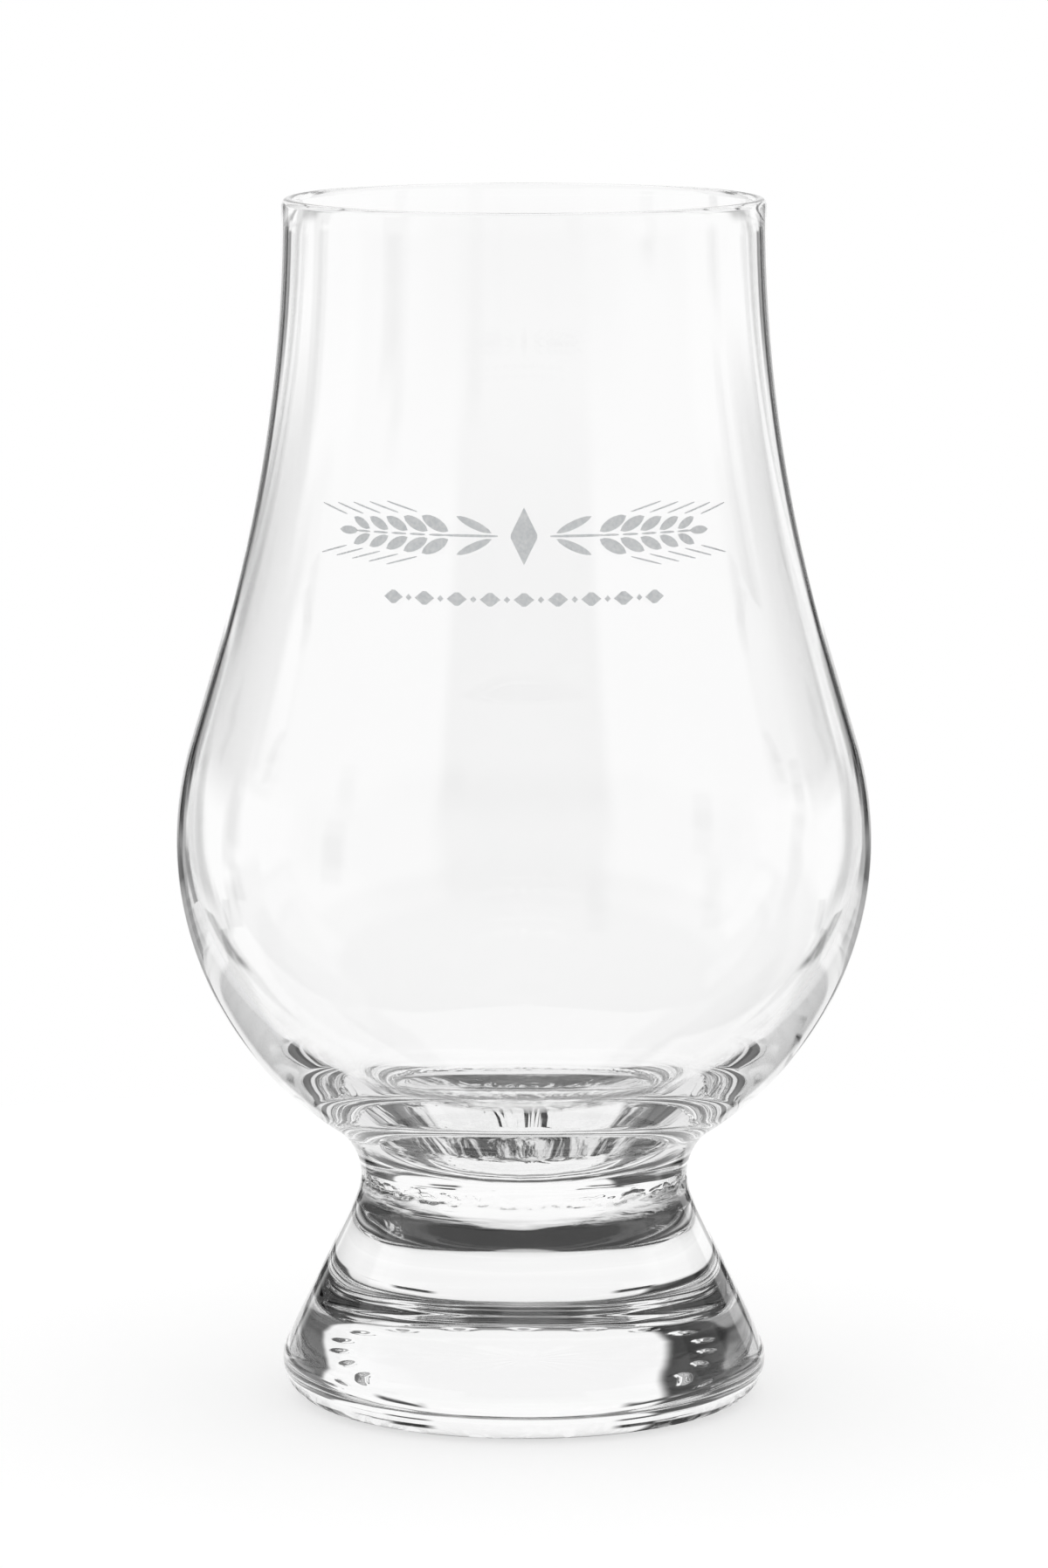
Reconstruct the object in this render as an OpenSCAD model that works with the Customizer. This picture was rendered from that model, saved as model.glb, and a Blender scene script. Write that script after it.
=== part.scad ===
// Whisky nosing glass: a blown tulip bowl fused hot onto a pressed solid foot.
// Millimetres, +Z up. The origin is the centre of the ring that the glass stands on.

/* [Bowl] */
// Height of the bowl from its joint with the foot to the top of the rim
bowl_h = 93.5; // [80:0.5:115]
// Outer radius of the mouth, just under the rim
mouth_r = 22.85; // [20:0.05:26]
// Outer radius of the belly at its widest place
belly_r = 33.1; // [31.5:0.1:37]
// Radius of the arc from the belly up to the straight flank
shoulder_arc_r = 33.6; // [28:0.1:40]
// Length of the straight flank between the shoulder's arc and the throat's
flank_l = 9.5; // [2:0.1:20]
// Radius of the arc from the belly down to the neck
underbelly_arc_r = 32.5; // [29:0.1:37]

/* [Wall of the bowl] */
// Thickness of the wall at the rim, which is fire-polished to a full round
rim_wall = 1.2; // [0.9:0.05:1.8]
// Thickness of the wall at the belly
belly_wall = 1.05; // [0.9:0.05:2]
// How much higher the cavity is widest than the outside is
cavity_rise = 0.8; // [0:0.1:2]
// How much tighter the cavity's shoulder arc is than the outer one
shoulder_ease = 1; // [0:0.1:2]
// How much longer the cavity's straight flank is than the outer one
flank_gain = 6; // [2:0.1:7]
// Radius of the arc at the knee, where the cavity turns in under the belly
knee_r = 28; // [26:0.1:30]
// Radius of the arc at the middle of the cavity's floor
floor_arc_r = 22; // [18:0.5:26]
// Thickness of solid glass between the foot and the cavity's floor
floor_h = 2; // [1.5:0.1:4]

/* [Neck] */
// Radius of the neck at its narrowest place, where bowl and foot are fused
neck_r = 15.65; // [14:0.05:18]
// Radius of the fillet that turns round the neck
neck_fillet_r = 5.9; // [4:0.1:8]

/* [Foot] */
// Height of the foot, from the table to the joint in the neck
foot_h = 21.5; // [18:0.5:30]
// Radius of the foot at its widest place, just above the table
foot_r = 23.2; // [21:0.1:27]
// Radius of the rounded edge at the bottom of the foot
foot_edge_r = 3.7; // [2.5:0.1:5]

/* [Underside] */
// Width of the flat ring that the glass stands on
stand_w = 2.2; // [1:0.1:4]
// Height of the hollow under the foot at its middle
hollow_h = 1.3; // [0.8:0.1:3]
// Radius of the ring of moulded beads in the hollow
bead_ring_r = 12; // [9:0.1:14]
// Radius of one bead where it leaves the hollow's surface
bead_r = 0.65; // [0.4:0.05:1]
// How far a bead stands out of the hollow's surface
bead_h = 0.2; // [0.1:0.05:0.3]
// Number of beads in the ring
bead_count = 24; // [12:1:30]

/* [Hidden] */
// Farthest that a straight step of an outline cuts inside its arc
step_cut = 0.02;
// Largest turn of one step, for the small arcs
step_turn = 12;
// Facets of the turned solids and of one bead, for the quick views
turned_facets = 120;
bead_facets = 24;
// Clear glass, nearly without colour
glass_tint = [0.86, 0.93, 0.95, 0.5];

// Places along the outside, each a point [radius, height]
neck_c = [neck_r + neck_fillet_r, foot_h];
underbelly_off = belly_r - underbelly_arc_r;
belly_z = foot_h + sqrt(pow(underbelly_arc_r + neck_fillet_r, 2) - pow(neck_c.x - underbelly_off, 2));
underbelly_c = [underbelly_off, belly_z];
shoulder_c = [belly_r - shoulder_arc_r, belly_z];
lip_z = foot_h + bowl_h - rim_wall / 2;
foot_edge_c = [foot_r - foot_edge_r, foot_edge_r];

// Places along the cavity. The floor's arc is centred on the axis.
cavity_mouth_r = mouth_r - rim_wall;
cavity_r = belly_r - belly_wall;
cavity_z = belly_z + cavity_rise;
cavity_shoulder_arc_r = shoulder_arc_r - shoulder_ease;
cavity_flank_l = flank_l + flank_gain;
cavity_shoulder_c = [cavity_r - cavity_shoulder_arc_r, cavity_z];
knee_c = [cavity_r - knee_r, cavity_z];
floor_z = foot_h + floor_h;
floor_c = [0, floor_z + floor_arc_r];

// Places on the underside
stand_r = foot_edge_c.x - stand_w;
hollow_arc_r = (pow(stand_r, 2) + pow(hollow_h, 2)) / (2 * hollow_h);
hollow_c = [0, hollow_h - hollow_arc_r];
bead_ring_z = hollow_c.y + sqrt(pow(hollow_arc_r, 2) - pow(bead_ring_r, 2));
bead_ball_r = (pow(bead_r, 2) + pow(bead_h, 2)) / (2 * bead_h);

// Angle of the line from point a to point b
function angle_to(a, b) = atan2(b.y - a.y, b.x - a.x);

// Points on an arc about c from angle a0 to a1, both ends included
function arc(c, r, a0, a1) =
    let (turn = min(step_turn, 2 * acos(1 - step_cut / r)))
    let (n = ceil(abs(a1 - a0) / turn))
    [for (i = [0:n]) c + r * [cos(a0 + (a1 - a0) * i / n), sin(a0 + (a1 - a0) * i / n)]];

// The points without the first one, for a stretch that starts where the last one ended
function onward(points) = [for (i = [1:len(points) - 1]) points[i]];

function reversed(points) = [for (i = [len(points) - 1:-1:0]) points[i]];

// Slope of the line that touches two round corners, with the line's outer side
// on circle (c1, r1) and its inner side on circle (c2, r2)
function flank_angle(c1, r1, c2, r2) = angle_to(c1, c2) - acos((r1 + r2) / norm(c2 - c1));

// Where two round corners face the line that touches both of them from below
function bottom_turn(c1, r1, c2, r2) = angle_to(c1, c2) + acos((r1 - r2) / norm(c2 - c1));

// One side of the bowl's wall from the widest place up to the lip: the shoulder's arc
// about c, a straight flank of length flat, and the throat's arc. Both arcs end upright,
// so the two radii together follow from the widest place, the lip and the flat.
function wall_side(c, r, lip, flat) =
    let (in = c.x + r - lip.x)
    let (up = lip.y - c.y)
    let (throat_arc_r = (pow(in, 2) + pow(up, 2) - pow(flat, 2)) / (2 * in) - r)
    let (throat_c = lip + [throat_arc_r, 0])
    let (slope = flank_angle(c, r, throat_c, throat_arc_r))
    concat(
        onward(arc(c, r, 0, slope)),
        arc(throat_c, throat_arc_r, 180 + slope, 180)
    );

// Half outline of the bowl, from its joint with the foot round the outside,
// over the rim, and down the cavity to the middle of its floor
function bowl_outline() =
    let (neck_turn = angle_to(neck_c, underbelly_c))
    let (knee_turn = bottom_turn(knee_c, knee_r, floor_c, floor_arc_r))
    let (rim_c = [mouth_r - rim_wall / 2, lip_z])
    let (cavity_lip = [cavity_mouth_r, lip_z])
    let (cavity_side = wall_side(cavity_shoulder_c, cavity_shoulder_arc_r, cavity_lip, cavity_flank_l))
    concat(
        [[0, foot_h]],
        arc(neck_c, neck_fillet_r, 180, neck_turn),
        onward(arc(underbelly_c, underbelly_arc_r, neck_turn - 180, 0)),
        wall_side(shoulder_c, shoulder_arc_r, [mouth_r, lip_z], flank_l),
        onward(arc(rim_c, rim_wall / 2, 0, 180)),
        onward(reversed(cavity_side)),
        arc(knee_c, knee_r, 0, knee_turn),
        arc(floor_c, floor_arc_r, knee_turn, -90)
    );

// Half outline of the foot, from the middle of the hollow under it round the edge
// and up its side to the joint
function foot_outline() =
    let (slope = flank_angle(foot_edge_c, foot_edge_r, neck_c, neck_fillet_r))
    let (hollow_turn = angle_to(hollow_c, [stand_r, 0]))
    concat(
        arc(hollow_c, hollow_arc_r, 90, hollow_turn),
        arc(foot_edge_c, foot_edge_r, -90, slope),
        arc(neck_c, neck_fillet_r, 180 + slope, 180),
        [[0, foot_h]]
    );

module turned(outline) {
    rotate_extrude($fn = turned_facets)
        polygon(outline);
}

// The ring of low round beads, moulded on the hollow under the foot
module beads() {
    for (i = [0:bead_count - 1])
        rotate([0, 0, 360 * i / bead_count])
            translate([bead_ring_r, 0, bead_ring_z - bead_h + bead_ball_r])
                sphere(bead_ball_r, $fn = bead_facets);
}

module bowl() {
    color(glass_tint)
        turned(bowl_outline());
}

module foot() {
    color(glass_tint)
        union() {
            turned(foot_outline());
            beads();
        }
}

bowl();
foot();
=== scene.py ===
# %% [markdown]
# A clear crystal nosing glass, turned as one piece of glass, on a pale plinth in a white studio.
# Blender works in metres here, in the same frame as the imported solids: +Z up, and the origin
# in the middle of the ring that the glass stands on.

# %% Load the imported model
import bmesh
import bpy
from math import acos, asin, atan2, cos, hypot, pi, radians, sin, sqrt
from mathutils import Matrix, Vector, noise


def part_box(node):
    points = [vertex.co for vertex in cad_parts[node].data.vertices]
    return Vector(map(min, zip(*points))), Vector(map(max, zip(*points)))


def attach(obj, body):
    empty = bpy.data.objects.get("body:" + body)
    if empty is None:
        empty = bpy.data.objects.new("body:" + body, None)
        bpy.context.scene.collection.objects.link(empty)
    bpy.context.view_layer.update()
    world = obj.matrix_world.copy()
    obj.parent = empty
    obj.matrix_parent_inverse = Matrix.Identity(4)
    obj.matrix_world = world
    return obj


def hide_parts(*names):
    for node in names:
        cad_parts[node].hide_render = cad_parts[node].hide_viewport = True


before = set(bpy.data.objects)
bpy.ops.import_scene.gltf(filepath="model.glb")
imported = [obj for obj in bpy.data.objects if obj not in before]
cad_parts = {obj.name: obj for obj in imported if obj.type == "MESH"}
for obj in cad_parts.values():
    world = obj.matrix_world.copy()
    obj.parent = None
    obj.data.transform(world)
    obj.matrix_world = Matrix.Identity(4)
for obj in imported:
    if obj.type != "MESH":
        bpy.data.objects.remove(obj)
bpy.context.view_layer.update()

MM = 0.001
print("packed nodes:", sorted(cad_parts))

# %% [markdown]
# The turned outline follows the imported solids. Their boxes give the overall sizes, and the
# other sizes are the same named values as in the part's own source.

# %% Sizes of the glass
bowl_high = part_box("bowl")[1]
foot_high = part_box("foot")[1]
top_z = bowl_high[2]
belly_r = bowl_high[0]
foot_r = foot_high[0]
foot_h = foot_high[2]

mouth_r = 22.85 * MM
shoulder_arc_r = 33.6 * MM
flank_l = 9.5 * MM
underbelly_arc_r = 32.5 * MM
rim_wall = 1.2 * MM
belly_wall = 1.05 * MM
cavity_rise = 0.8 * MM
shoulder_ease = 1.0 * MM
flank_gain = 6.0 * MM
knee_r = 28.0 * MM
floor_arc_r = 22.0 * MM
floor_h = 2.0 * MM
neck_r = 15.65 * MM
neck_fillet_r = 5.9 * MM
foot_edge_r = 3.7 * MM
stand_w = 2.2 * MM
hollow_h = 1.3 * MM
bead_ring_r = 12.0 * MM
bead_r = 0.65 * MM
bead_h = 0.2 * MM
bead_count = 24

# %% Centres of the outline's arcs
def place(x, z):
    return Vector((x, 0, z))


def angle_to(a, b):
    return atan2(b.z - a.z, b.x - a.x)


def cross_turn(c1, r1, c2, r2):
    return angle_to(c1, c2) - acos((r1 + r2) / (c2 - c1).length)


def throat_of(c, r, lip, flat):
    inward = c.x + r - lip.x
    upward = lip.z - c.z
    arc_r = (inward ** 2 + upward ** 2 - flat ** 2) / (2 * inward) - r
    return lip + place(arc_r, 0), arc_r


neck_c = place(neck_r + neck_fillet_r, foot_h)
underbelly_off = belly_r - underbelly_arc_r
belly_z = foot_h + sqrt((underbelly_arc_r + neck_fillet_r) ** 2 - (neck_c.x - underbelly_off) ** 2)
underbelly_c = place(underbelly_off, belly_z)
shoulder_c = place(belly_r - shoulder_arc_r, belly_z)
lip_z = top_z - rim_wall / 2
throat_c, throat_arc_r = throat_of(shoulder_c, shoulder_arc_r, place(mouth_r, lip_z), flank_l)
rim_c = place(mouth_r - rim_wall / 2, lip_z)

cavity_r = belly_r - belly_wall
cavity_z = belly_z + cavity_rise
cavity_arc_r = shoulder_arc_r - shoulder_ease
cavity_c = place(cavity_r - cavity_arc_r, cavity_z)
cavity_lip = place(mouth_r - rim_wall, lip_z)
cavity_throat_c, cavity_throat_r = throat_of(cavity_c, cavity_arc_r, cavity_lip, flank_l + flank_gain)
knee_c = place(cavity_r - knee_r, cavity_z)
floor_z = foot_h + floor_h
floor_c = place(0, floor_z + floor_arc_r)

foot_edge_c = place(foot_r - foot_edge_r, foot_edge_r)
stand_r = foot_edge_c.x - stand_w
hollow_arc_r = (stand_r ** 2 + hollow_h ** 2) / (2 * hollow_h)
hollow_c = place(0, hollow_h - hollow_arc_r)
print("widest at %.1f mm, cavity floor at %.1f mm" % (belly_z / MM, floor_z / MM))

# %% [markdown]
# The real outline is a run of smooth arcs, from the mould below and the blower's tools above. It
# could be a curve or a list of points. Here a single vertex is the pen: a spin of it about an
# arc's centre draws the arc, and an extruded vertex draws a straight line. The pen never lifts,
# so the outline has no gaps, and each stretch can have the steps that it needs.

# %% The pen
def pen_line(bm, pen, to, steps=1):
    start = pen.co.copy()
    for i in range(steps):
        pen = bmesh.ops.extrude_vert_indiv(bm, verts=[pen])["verts"][0]
        pen.co = start.lerp(to, (i + 1) / steps)
    return pen


def pen_arc(bm, pen, centre, turn, steps):
    drawn = bmesh.ops.spin(bm, geom=[pen], cent=centre, axis=(0, -1, 0), dvec=(0, 0, 0),
                           angle=turn, steps=steps)
    return [g for g in drawn["geom_last"] if isinstance(g, bmesh.types.BMVert)][0]


def on_arc(centre, r, turn):
    return centre + place(r * cos(turn), r * sin(turn))


# %% Outside of the foot and the bowl
bm = bmesh.new()
pen = bmesh.ops.create_vert(bm, co=place(0, hollow_h))["vert"][0]

# The hollow under the foot, with finer steps where the beads stand
bead_zone = 1.2 * MM
inner_turn = asin((bead_ring_r - bead_zone) / hollow_arc_r)
outer_turn = asin((bead_ring_r + bead_zone) / hollow_arc_r)
rest_turn = pi / 2 - angle_to(hollow_c, place(stand_r, 0)) - outer_turn
pen = pen_arc(bm, pen, hollow_c, -inner_turn, 8)
pen = pen_arc(bm, pen, hollow_c, inner_turn - outer_turn, 12)
pen = pen_arc(bm, pen, hollow_c, -rest_turn, 6)

# The flat ring, the rounded edge and the flared side
pen = pen_line(bm, pen, place(foot_edge_c.x, 0), 2)
foot_turn = cross_turn(foot_edge_c, foot_edge_r, neck_c, neck_fillet_r)
pen = pen_arc(bm, pen, foot_edge_c, foot_turn + pi / 2, 16)
pen = pen_line(bm, pen, on_arc(neck_c, neck_fillet_r, pi + foot_turn), 10)

# The neck, with finer steps round the joint, and the belly
neck_turn = angle_to(neck_c, underbelly_c)
joint_turn = 1.1 * MM / neck_fillet_r
pen = pen_arc(bm, pen, neck_c, joint_turn - foot_turn, 12)
pen = pen_arc(bm, pen, neck_c, -2 * joint_turn, 14)
pen = pen_arc(bm, pen, neck_c, neck_turn - pi + joint_turn, 12)
pen = pen_arc(bm, pen, underbelly_c, pi - neck_turn, 60)

# The shoulder, the straight flank, the throat and the rim
shoulder_turn = cross_turn(shoulder_c, shoulder_arc_r, throat_c, throat_arc_r)
pen = pen_arc(bm, pen, shoulder_c, shoulder_turn, 14)
pen = pen_line(bm, pen, on_arc(throat_c, throat_arc_r, pi + shoulder_turn), 3)
pen = pen_arc(bm, pen, throat_c, -shoulder_turn, 17)
pen = pen_arc(bm, pen, rim_c, pi, 12)
print("outside of", len(bm.verts), "points, ends at %.2f mm" % (pen.co.z / MM))

# %% Cavity, from the rim down to its floor
cavity_turn = cross_turn(cavity_c, cavity_arc_r, cavity_throat_c, cavity_throat_r)
pen = pen_arc(bm, pen, cavity_throat_c, cavity_turn, 15)
pen = pen_line(bm, pen, on_arc(cavity_c, cavity_arc_r, cavity_turn), 4)
pen = pen_arc(bm, pen, cavity_c, -cavity_turn, 10)
knee_turn = angle_to(knee_c, floor_c) + acos((knee_r - floor_arc_r) / (floor_c - knee_c).length)
pen = pen_arc(bm, pen, knee_c, knee_turn, 50)
pen = pen_line(bm, pen, on_arc(floor_c, floor_arc_r, knee_turn), 4)
pen = pen_arc(bm, pen, floor_c, -pi / 2 - knee_turn, 14)
pen.co.x = 0
print("whole outline of", len(bm.verts), "points, ends at %.2f mm" % (pen.co.z / MM))

# %% [markdown]
# The real bowl and foot are fused, with no surface left between them, so the glass is one closed
# skin. A Screw modifier would turn the outline too, but a spin leaves a plain mesh that the
# waves can be pressed into. The many points at both poles then merge into one, which closes it.

# %% Turn the outline into glass
TURN_STEPS = 320
bmesh.ops.spin(bm, geom=bm.verts[:] + bm.edges[:], cent=(0, 0, 0), axis=(0, 0, 1),
               dvec=(0, 0, 0), angle=2 * pi, steps=TURN_STEPS, use_merge=True)
bmesh.ops.remove_doubles(bm, verts=bm.verts, dist=0.0005 * MM)
bmesh.ops.recalc_face_normals(bm, faces=bm.faces)
bm.normal_update()
print("open edges:", sum(not e.is_manifold for e in bm.edges), "faces:", len(bm.faces))

# %% [markdown]
# Pressed and hand-finished glass is never quite true. The mould leaves long shallow waves in the
# foot, the joint in the neck is a fine ragged groove, and low beads stand in the hollow below.
# Bump in the material could draw them, but real height also shows at the outline and stays in
# an exported mesh, so the points of the mesh are moved along their normals.

# %% Shapes of the waves, the fused joint and the beads
def bump(x, width):
    t = max(0.0, 1 - (x / width) ** 2)
    return t * t


def mould_wave(co, around, upward):
    turn = atan2(co.y, co.x)
    spot = Vector((around * cos(turn), around * sin(turn), co.z * upward))
    return noise.noise(spot) + 0.5 * noise.noise(spot * 2.3)


JOINT_WANDER = 0.35 * MM
JOINT_DEPTH = 0.17 * MM
JOINT_WIDTH = 0.6 * MM


def joint_groove(co):
    ragged = foot_h + JOINT_WANDER * mould_wave(co, 7, 0)
    rough = 0.7 + 0.9 * mould_wave(co, 40, 2600)
    return JOINT_DEPTH * rough * bump(co.z - ragged, JOINT_WIDTH)


def bead_lift(co):
    turn = atan2(co.y, co.x)
    pitch = 2 * pi / bead_count
    off_turn = turn - pitch * round(turn / pitch)
    off = hypot(bead_ring_r * off_turn, hypot(co.x, co.y) - bead_ring_r)
    return bead_h * bump(off, bead_r * 1.25)


# %% Press them into the glass
# How deep the waves are, over what length they fade out, and how far up and out they go
HOLLOW_WAVE = 0.012 * MM
FOOT_WAVE = 0.02 * MM
CAVITY_WAVE = 0.03 * MM
FADE = 4 * MM
TOP_FADE = 3 * MM
WAVES_TOP = foot_h + TOP_FADE
CAVITY_WAVES_TOP = floor_z + 8 * MM
CAVITY_WAVES_R = 15 * MM

# The poles stay. Elsewhere the normal tells the outside of the glass from its cavity.
moved = []
for v in bm.verts:
    r = hypot(v.co.x, v.co.y)
    if r < 0.1 * MM:
        continue
    radial = (v.normal.x * v.co.x + v.normal.y * v.co.y) / r
    outside = radial > 0.05
    shift = 0.0
    if v.co.z < hollow_h + 0.1 * MM and v.normal.z < -0.9 and r < stand_r:
        fade = min(1, v.co.z / (0.3 * MM))
        shift = bead_lift(v.co) + HOLLOW_WAVE * fade * mould_wave(v.co, 3, 900)
    elif outside and v.co.z < WAVES_TOP:
        fade = min(1, v.co.z / FADE) * min(1, (WAVES_TOP - v.co.z) / TOP_FADE)
        shift = -FOOT_WAVE * fade * (1.2 + mould_wave(v.co, 2.2, 700))
        shift -= joint_groove(v.co)
    elif not outside and r < CAVITY_WAVES_R and v.co.z < CAVITY_WAVES_TOP:
        fade = min(1, (CAVITY_WAVES_R - r) / FADE)
        shift = CAVITY_WAVE * fade * mould_wave(v.co, 2.5, 500)
    if shift:
        moved.append((v, v.normal * shift))
for v, step in moved:
    v.co += step

mesh = bpy.data.meshes.new("crystal_glass")
bm.to_mesh(mesh)
bm.free()
for polygon in mesh.polygons:
    polygon.use_smooth = True
glass = bpy.data.objects.new("crystal_glass", mesh)
bpy.context.scene.collection.objects.link(glass)
print("crystal_glass:", len(mesh.polygons), "faces,", len(moved), "points moved")

# %% [markdown]
# A mark is etched on the front of the bowl: two ears of barley, and a row of lozenges under them.
# A mask in the crystal's material could draw it, but that takes a picture or very many nodes. So
# each grain and stalk is a small grid, shaped in a flat drawing and wrapped round the glass.
# A frosted skin thinner than a hair stands for the etched surface, so the clear glass stays whole.

# %% One grain or stalk
GRID_STEP = 0.35 * MM


def tapered_strip(bm, at, turn, length, width, shape):
    steps = max(2, round(length / GRID_STEP))
    step = Matrix.Translation(Vector((at[0], at[1], 0))) @ Matrix.Rotation(turn, 4, "Z")
    drawn = bmesh.ops.create_grid(bm, x_segments=steps, y_segments=2, size=1)
    for v in drawn["verts"]:
        v.co = step @ Vector((v.co.x * length / 2, v.co.y * width / 2 * shape(abs(v.co.x)), 0))


def grain(t):
    return (1 - t * t) ** 0.7


def lozenge(t):
    return 1 - t


def stalk(t):
    return 1 - 0.5 * t ** 4


# %% Draw the mark flat
# The first pair of grains is 8.3 mm from the middle. Each next pair is 1.9 mm on, and smaller.
FIRST_GRAIN = 8.3
GRAIN_PITCH = 1.9
SHRINK = 0.07
GRAIN_SPREAD = radians(27)
LEAF_SPREAD = radians(24)
bm = bmesh.new()
for side in (0, pi):
    way = cos(side)
    tapered_strip(bm, (way * 4.9 * MM, 0), side, 5.0 * MM, 0.24 * MM, stalk)
    for k in range(5):
        x = FIRST_GRAIN + GRAIN_PITCH * k
        size = 1 - SHRINK * k
        for up in (1, -1):
            turn = GRAIN_SPREAD * up
            at = (way * x * MM, up * 1.02 * size * MM)
            tapered_strip(bm, at, side + turn * way, 2.9 * size * MM, 1.1 * size * MM, grain)
            tip = (way * (x + 3.3) * MM, up * (2.15 * size + 0.28) * MM)
            tapered_strip(bm, tip, side + turn * 0.55 * way, 3.2 * MM, 0.15 * MM, stalk)
        tapered_strip(bm, (way * (x - 0.2) * MM, 0), side, 1.5 * MM, 0.2 * MM, stalk)
    tapered_strip(bm, (way * 17.4 * MM, 0), side, 2.2 * MM, 0.75 * MM, grain)
    for up in (1, -1):
        at = (way * 4.6 * MM, up * 1.0 * MM)
        tapered_strip(bm, at, side + LEAF_SPREAD * up * way, 3.6 * MM, 0.75 * MM, grain)
tapered_strip(bm, (0, 0), pi / 2, 5.2 * MM, 2.6 * MM, lozenge)

ROW_Z = -5.7 * MM
ROW_PITCH = 3.1 * MM
for k in range(-4, 5):
    tapered_strip(bm, (ROW_PITCH * k, ROW_Z), 0, 1.9 * MM, 1.5 * MM, lozenge)
    if k < 4:
        tapered_strip(bm, (ROW_PITCH * (k + 0.5), ROW_Z), 0, 0.6 * MM, 0.6 * MM, grain)
bmesh.ops.remove_doubles(bm, verts=bm.verts, dist=0.002 * MM)
print("mark:", len(bm.faces), "faces, %.1f mm wide" % (2 * max(v.co.x for v in bm.verts) / MM))

# %% Wrap it round the bowl and give it a thickness
MARK_Z = 85.7 * MM
SKIN_GAP = 0.01 * MM
SKIN = 0.02 * MM
for v in bm.verts:
    z = MARK_Z + v.co.y
    r = throat_c.x - sqrt(throat_arc_r ** 2 - (throat_c.z - z) ** 2)
    turn = v.co.x / r
    v.co = Vector((sin(turn), -cos(turn), 0)) * (r + SKIN_GAP) + Vector((0, 0, z))
bm.normal_update()
lifted = bmesh.ops.extrude_face_region(bm, geom=bm.faces[:])["geom"]
front = [g for g in lifted if isinstance(g, bmesh.types.BMVert)]
bmesh.ops.translate(bm, verts=front, vec=(0, -SKIN, 0))
bmesh.ops.recalc_face_normals(bm, faces=bm.faces)
print("mark open edges:", sum(not e.is_manifold for e in bm.edges))
mark_mesh = bpy.data.meshes.new("etched_mark")
bm.to_mesh(mark_mesh)
bm.free()
etched = bpy.data.objects.new("etched_mark", mark_mesh)
bpy.context.scene.collection.objects.link(etched)

# %% [markdown]
# Two materials: the clear crystal, and the same crystal where it is etched. The Glass shader
# would do for the first, but the Principled one is what other programs read in an exported
# model. One function adds a node to a material or to the studio, with its settings and links.

# %% Nodes and colours
def colour(code):
    parts = [int(code[i:i + 2], 16) / 255 for i in (1, 3, 5)]
    return [p / 12.92 if p <= 0.04045 else ((p + 0.055) / 1.055) ** 2.4 for p in parts] + [1]


def add(tree, kind, links=(), inputs=(), **settings):
    node = tree.nodes.new(kind)
    for name, value in settings.items():
        setattr(node, name, value)
    for name, value in dict(inputs).items():
        node.inputs[name].default_value = value
    for name, source in links:
        tree.links.new(getattr(source, "outputs", [source])[0], node.inputs[name])
    return node


def new_material(name, mesh):
    material = bpy.data.materials.new(name)
    material.use_nodes = True
    material.node_tree.nodes.clear()
    mesh.materials.append(material)
    return material.node_tree


# %% Clear crystal
# Lead-free crystal, fire-polished: nearly no colour, and no grain. The neck and the foot, pressed
# and finished by hand, keep a trace of unevenness in long soft waves of about 18 mm.
CRYSTAL_IOR = 1.52
WAVES_PER_METRE = 55
tree = new_material("clear_crystal", glass.data)
spot = add(tree, "ShaderNodeTexCoord").outputs["Object"]
wave = add(tree, "ShaderNodeTexNoise", [("Vector", spot)],
           {"Scale": WAVES_PER_METRE, "Detail": 1, "Roughness": 0.4})
level = add(tree, "ShaderNodeSeparateXYZ", [(0, spot)]).outputs["Z"]
low = add(tree, "ShaderNodeMapRange", [("Value", level)],
          {"From Min": 32 * MM, "From Max": 24 * MM, "To Max": 0.05}, interpolation_type="SMOOTHSTEP")
skin = add(tree, "ShaderNodeBump", [("Strength", low), ("Height", wave)], {"Distance": 0.4 * MM})
shader = add(tree, "ShaderNodeBsdfPrincipled", [("Normal", skin)],
             {"Base Color": colour("#FEFEFE"), "Roughness": 0, "IOR": CRYSTAL_IOR,
              "Transmission Weight": 1})
add(tree, "ShaderNodeOutputMaterial", [("Surface", shader)])
print("clear_crystal:", len(tree.nodes), "nodes")

# %% Etched crystal
# The same glass, left matt and pale grey by its fine pits. The pits are about 0.05 mm wide,
# drawn at 0.3 mm so that they show.
PITS_PER_METRE = 3300
tree = new_material("etched_crystal", etched.data)
spot = add(tree, "ShaderNodeTexCoord").outputs["Object"]
pits = add(tree, "ShaderNodeTexNoise", [("Vector", spot)],
           {"Scale": PITS_PER_METRE, "Detail": 2, "Roughness": 0.6})
tone = add(tree, "ShaderNodeMapRange", [("Value", pits)], {"From Min": 0.3, "From Max": 0.7})
shades = add(tree, "ShaderNodeMix", [("Factor", tone)], {"A": colour("#E2E5E7"), "B": colour("#FAFBFB")},
             data_type="RGBA")
relief = add(tree, "ShaderNodeBump", [("Height", pits)], {"Strength": 0.3, "Distance": 0.05 * MM})
shader = add(tree, "ShaderNodeBsdfPrincipled",
             [("Base Color", shades.outputs["Result"]), ("Normal", relief)],
             {"Roughness": 0.55, "IOR": CRYSTAL_IOR, "Transmission Weight": 0.6})
add(tree, "ShaderNodeOutputMaterial", [("Surface", shader)])
print("etched_crystal:", len(tree.nodes), "nodes")

# %% [markdown]
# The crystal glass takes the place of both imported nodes, because the real joint is fused. The
# mark is a finish on it and replaces nothing. Nothing moves, so both ride on the one body.

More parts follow.
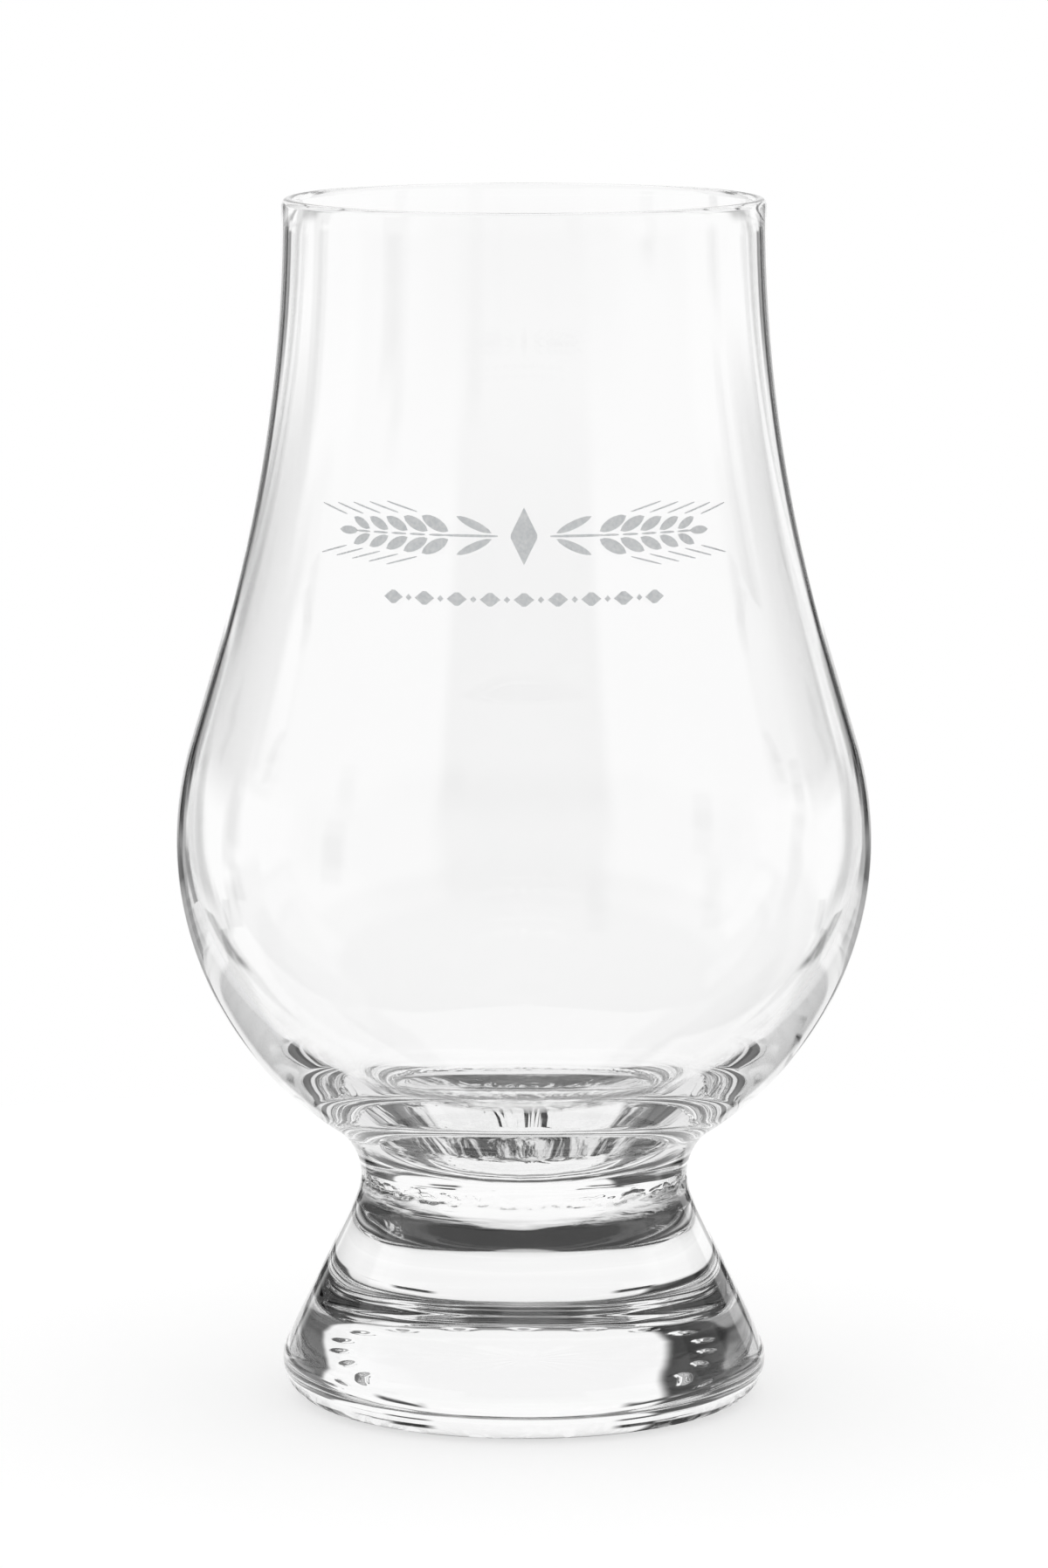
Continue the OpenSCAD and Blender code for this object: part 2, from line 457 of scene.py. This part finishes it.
# %% Hand the pieces over
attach(glass, "root")
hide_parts("bowl", "foot")
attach(etched, "root")
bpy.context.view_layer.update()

# %% [markdown]
# The glass stands on a round pale plinth. Clear glass is drawn only by what it bends into view,
# so a plain floor would leave its foot empty. Real pieces of card could lie round it, but they
# would show. Instead the plinth has marks that the glass alone sees: painted light that the foot
# gathers under it, a ring of painted shade round it, and two dark boards left and right for the glancing
# reflections.

# %% Plinth
PLINTH_R = 160 * MM
PLINTH_GAP = 0.02 * MM
bm = bmesh.new()
bmesh.ops.create_circle(bm, cap_ends=True, cap_tris=False, segments=96, radius=PLINTH_R)
bmesh.ops.translate(bm, verts=bm.verts, vec=(0, 0, -PLINTH_GAP))
plinth = bpy.data.objects.new("plinth_top", bpy.data.meshes.new("plinth_top"))
bm.to_mesh(plinth.data)
bm.free()
bpy.context.scene.collection.objects.link(plinth)
print("plinth of %.0f mm" % (2 * PLINTH_R / MM))

# %% Masks, and shades painted through them
def between(tree, value, low, high, soft):
    rise = add(tree, "ShaderNodeMapRange", [("Value", value)],
               {"From Min": low - soft, "From Max": low + soft}, interpolation_type="SMOOTHSTEP")
    fall = add(tree, "ShaderNodeMapRange", [("Value", value)],
               {"From Min": high + soft, "From Max": high - soft}, interpolation_type="SMOOTHSTEP")
    return add(tree, "ShaderNodeMath", [(0, rise), (1, fall)], operation="MULTIPLY")


def paint(tree, shade, value, *masks):
    mask = masks[0]
    for other in masks[1:]:
        mask = add(tree, "ShaderNodeMath", [(0, mask), (1, other)], operation="MULTIPLY")
    return add(tree, "ShaderNodeMix", [("Factor", mask), ("A", shade)], {"B": value}, data_type="FLOAT")


def sideways(tree, spots):
    turn = add(tree, "ShaderNodeMath", [(0, spots.outputs["X"]), (1, spots.outputs["Y"])],
               operation="ARCTAN2")
    turn = add(tree, "ShaderNodeMath", [(0, turn)], operation="DEGREES")
    return turn, add(tree, "ShaderNodeMath", [(0, turn)], operation="ABSOLUTE")


# %% White card, with the marks that the glass sees
tree = new_material("white_card", plinth.data)
spot = add(tree, "ShaderNodeTexCoord").outputs["Object"]
spots = add(tree, "ShaderNodeSeparateXYZ", [(0, spot)])
away = add(tree, "ShaderNodeVectorMath", [(0, spot)], operation="LENGTH").outputs["Value"]
turn, sides = sideways(tree, spots)
path = add(tree, "ShaderNodeLightPath")
glossy = path.outputs["Is Glossy Ray"]
through = path.outputs["Is Transmission Ray"]

# Painted light that the foot gathers under it: bright behind a wavy edge near the middle, painted
# streaks of light about 5 mm apart in front of it, and an uneven ring of painted shade round them
LIGHT_STREAKS_PER_METRE = 200
# Noise that breaks the painted light into streaks and makes the edges of the painted light and shade
# uneven
painted_light_streaks = add(tree, "ShaderNodeTexNoise", [("Vector", spot)],
              {"Scale": LIGHT_STREAKS_PER_METRE, "Detail": 4, "Roughness": 0.7, "Distortion": 2.5})
shade = add(tree, "ShaderNodeMapRange", [("Value", painted_light_streaks)],
            {"From Min": 0.44, "From Max": 0.56, "To Min": 0.03, "To Max": 0.75})
wavy = add(tree, "ShaderNodeMath", [(0, painted_light_streaks), (2, spots.outputs["Y"])], {1: 12 * MM},
           operation="MULTIPLY_ADD")
# Painted pool of light in the middle, behind the wavy edge
shade = paint(tree, shade, 0.93, between(tree, wavy, 3.5 * MM, 30 * MM, 0.4 * MM),
              between(tree, away, -1, 13.5 * MM, 0.8 * MM))
# Painted shade: a dark ring under the edge of the foot
shade_ring_edge = add(tree, "ShaderNodeMath", [(0, painted_light_streaks), (2, away)], {1: 14 * MM}, operation="MULTIPLY_ADD")
shade = paint(tree, shade, 0.07, between(tree, shade_ring_edge, 23.8 * MM, 28.2 * MM, 0.5 * MM))
shade = paint(tree, shade, 1.0, between(tree, away, 23.5 * MM, 1, 1 * MM))

# Dark strips left and right, for the lower wall, and for the outline in a look from a corner
for left, right in ((23, 28), (63, 68)):
    shade = paint(tree, shade, 0.03, between(tree, sides, left, right, 1),
                  between(tree, away, 115 * MM, 1, 6 * MM))

# Reflections alone see the two boards
mirrored = add(tree, "ShaderNodeMath", [(0, glossy), (1, through)], operation="SUBTRACT", use_clamp=True)
shade = paint(tree, shade, 0.02, mirrored, between(tree, sides, 39, 75, 4),
              between(tree, away, 50 * MM, 120 * MM, 4 * MM))
bent = add(tree, "ShaderNodeMath", [(0, glossy), (1, through)], operation="MAXIMUM")
# The painted light and shade, the strips and the boards shine as emission that only the glass sees
marks = add(tree, "ShaderNodeEmission", [("Strength", shade)], {"Color": (1, 1, 1, 1)})

# The camera sees an even white with the soft shadow of the glass
base = add(tree, "ShaderNodeBsdfDiffuse", inputs={"Color": colour("#B4B4B4")})
lift = add(tree, "ShaderNodeMath", [(0, path.outputs["Is Camera Ray"])], {1: 0.6}, operation="MULTIPLY")
glow = add(tree, "ShaderNodeEmission", [("Strength", lift)], {"Color": (1, 1, 1, 1)})
white = add(tree, "ShaderNodeAddShader", [(0, base), (1, glow)])
face = add(tree, "ShaderNodeMixShader", [(0, bent), (1, white), (2, marks)])
add(tree, "ShaderNodeOutputMaterial", [("Surface", face)])
print("white_card:", len(tree.nodes), "nodes")

# %% [markdown]
# Plain soft light comes from all sides, and the background is white. Round the glass hang pale
# and dark cards, as in a studio for glassware. They could be planes, but those would cast shadows
# and stand in other views, so they are painted on the world by direction. Only the glass sees
# them, and they draw its outline, the bands in its foot and the wall of the bowl.

# %% Cards round the glass
# A card's own values: across, left, right, low, high, brightness and softness. Its angles are in
# degrees: turn is from straight behind the glass to the right, sides the same on both sides.
world = bpy.data.worlds.new("white_studio")
bpy.context.scene.world = world
world.use_nodes = True
tree = world.node_tree
tree.nodes.clear()
spots = add(tree, "ShaderNodeSeparateXYZ", [(0, add(tree, "ShaderNodeTexCoord").outputs["Generated"])])
turn, sides = sideways(tree, spots)
height = add(tree, "ShaderNodeMath", [(0, spots.outputs["Z"])], operation="ARCSINE")
height = add(tree, "ShaderNodeMath", [(0, height)], operation="DEGREES")

CARDS = [
    # dark above the level of the glass, darkest behind the camera and overhead
    (sides, -1, 190, 2, 99, 0.08, 3),
    (sides, 140, 190, 14, 52, 0.06, 4),
    (sides, 99, 148, 30, 52, 0.06, 2),
    (sides, 60, 190, 52, 99, 0.03, 2),
    # pale round the camera, for the even body of the bowl
    (sides, 130, 195, -14, 12, 0.62, 10),
    # pale sides, for the thick lower wall of the bowl
    (sides, 84, 150, -8, 27, 0.78, 3),
    # pale over the background
    (sides, -1, 46, 33, 47, 0.4, 2),
    (sides, -1, 46, 47, 99, 1.0, 2),
    (turn, -24, 42, -5, 32, 1.0, 2),
    # right and left of it, for the patches at the sides of the foot
    (turn, 42, 60, 2, 40, 0.12, 2),
    (turn, 60, 84, 10, 40, 0.5, 2),
    (turn, -64, -43, 13, 34, 0.3, 2),
    (turn, -43, -24, 2, 34, 0.02, 2),
    (sides, 68, 96, -8, 8, 0.95, 2),
    (turn, -84, -74, 10, 32, 0.9, 2),
    # dark strips close to the background, for the outline of the bowl
    (sides, 16, 25, -8, 4, 0.03, 1.5),
    (sides, 25, 30, -5, -1, 0.1, 1),
    (sides, 10, 24, -15.5, -8, 0.33, 1.5),
    # the same strips for a look from a corner above, from behind and from the right side
    (turn, -28, -21, -33, -11, 0.05, 1.5),
    (turn, -69, -62, -33, -11, 0.05, 1.5),
    (turn, 111, 118, -22, -4, 0.45, 1.5),
    (turn, 152, 159, -22, -4, 0.45, 1.5),
    (turn, -118, -110, -8, 5, 0.05, 1.5),
    (turn, -70, -62, -8, 5, 0.05, 1.5),
]
print("cards:", len(CARDS))

# %% Paint the cards on the world
# White all round to start with, and then card by card
shade = add(tree, "ShaderNodeMath", inputs={0: 1, 1: 0}, operation="ADD")
for across, left, right, low, high, value, soft in CARDS:
    shade = paint(tree, shade, value, between(tree, height, low, high, soft),
                  between(tree, across, left, right, soft))
path = add(tree, "ShaderNodeLightPath")
plain = add(tree, "ShaderNodeMath",
            [(0, path.outputs["Is Camera Ray"]), (1, path.outputs["Is Diffuse Ray"])], operation="MAXIMUM")
shade = paint(tree, shade, 1.0, plain)
sky = add(tree, "ShaderNodeBackground", [("Strength", shade)], {"Color": (1, 1, 1, 1)})
add(tree, "ShaderNodeOutputWorld", [("Surface", sky)])
print("white_studio:", len(tree.nodes), "nodes")

# %% [markdown]
# The camera looks as the photograph's did. Its height, tilt and focal length were found by fitting
# the outline of the glass, with 700 mm chosen for its distance. An empty to look at would aim it
# too, but the plain angle is what was measured. Light crosses many surfaces in thick clear glass
# before it comes out, so its path may be long.

# %% Camera and light paths
# The focal length is in pixels of the photograph's frame, and the tilt in radians.
FRAME_HEIGHT = 1796
FOCAL_PIXELS = 8502
SENSOR = 36
LOOK_DOWN = 0.1428
MOST_BOUNCES = 40
camera = bpy.data.objects.new("camera", bpy.data.cameras.new("camera"))
camera.data.lens = SENSOR * FOCAL_PIXELS / FRAME_HEIGHT
camera.data.sensor_fit = "AUTO"
camera.data.sensor_width = SENSOR
camera.data.clip_start = 10 * MM
camera.location = (0, -700 * MM, 159.8 * MM)
camera.rotation_euler = (pi / 2 - LOOK_DOWN, 0, 0)
scene = bpy.context.scene
scene.collection.objects.link(camera)
scene.camera = camera
scene.view_settings.view_transform = "Standard"
scene.cycles.max_bounces = MOST_BOUNCES
scene.cycles.glossy_bounces = MOST_BOUNCES
scene.cycles.transmission_bounces = MOST_BOUNCES
print("lens %.0f mm, %.1f degrees down" % (camera.data.lens, LOOK_DOWN * 180 / pi))
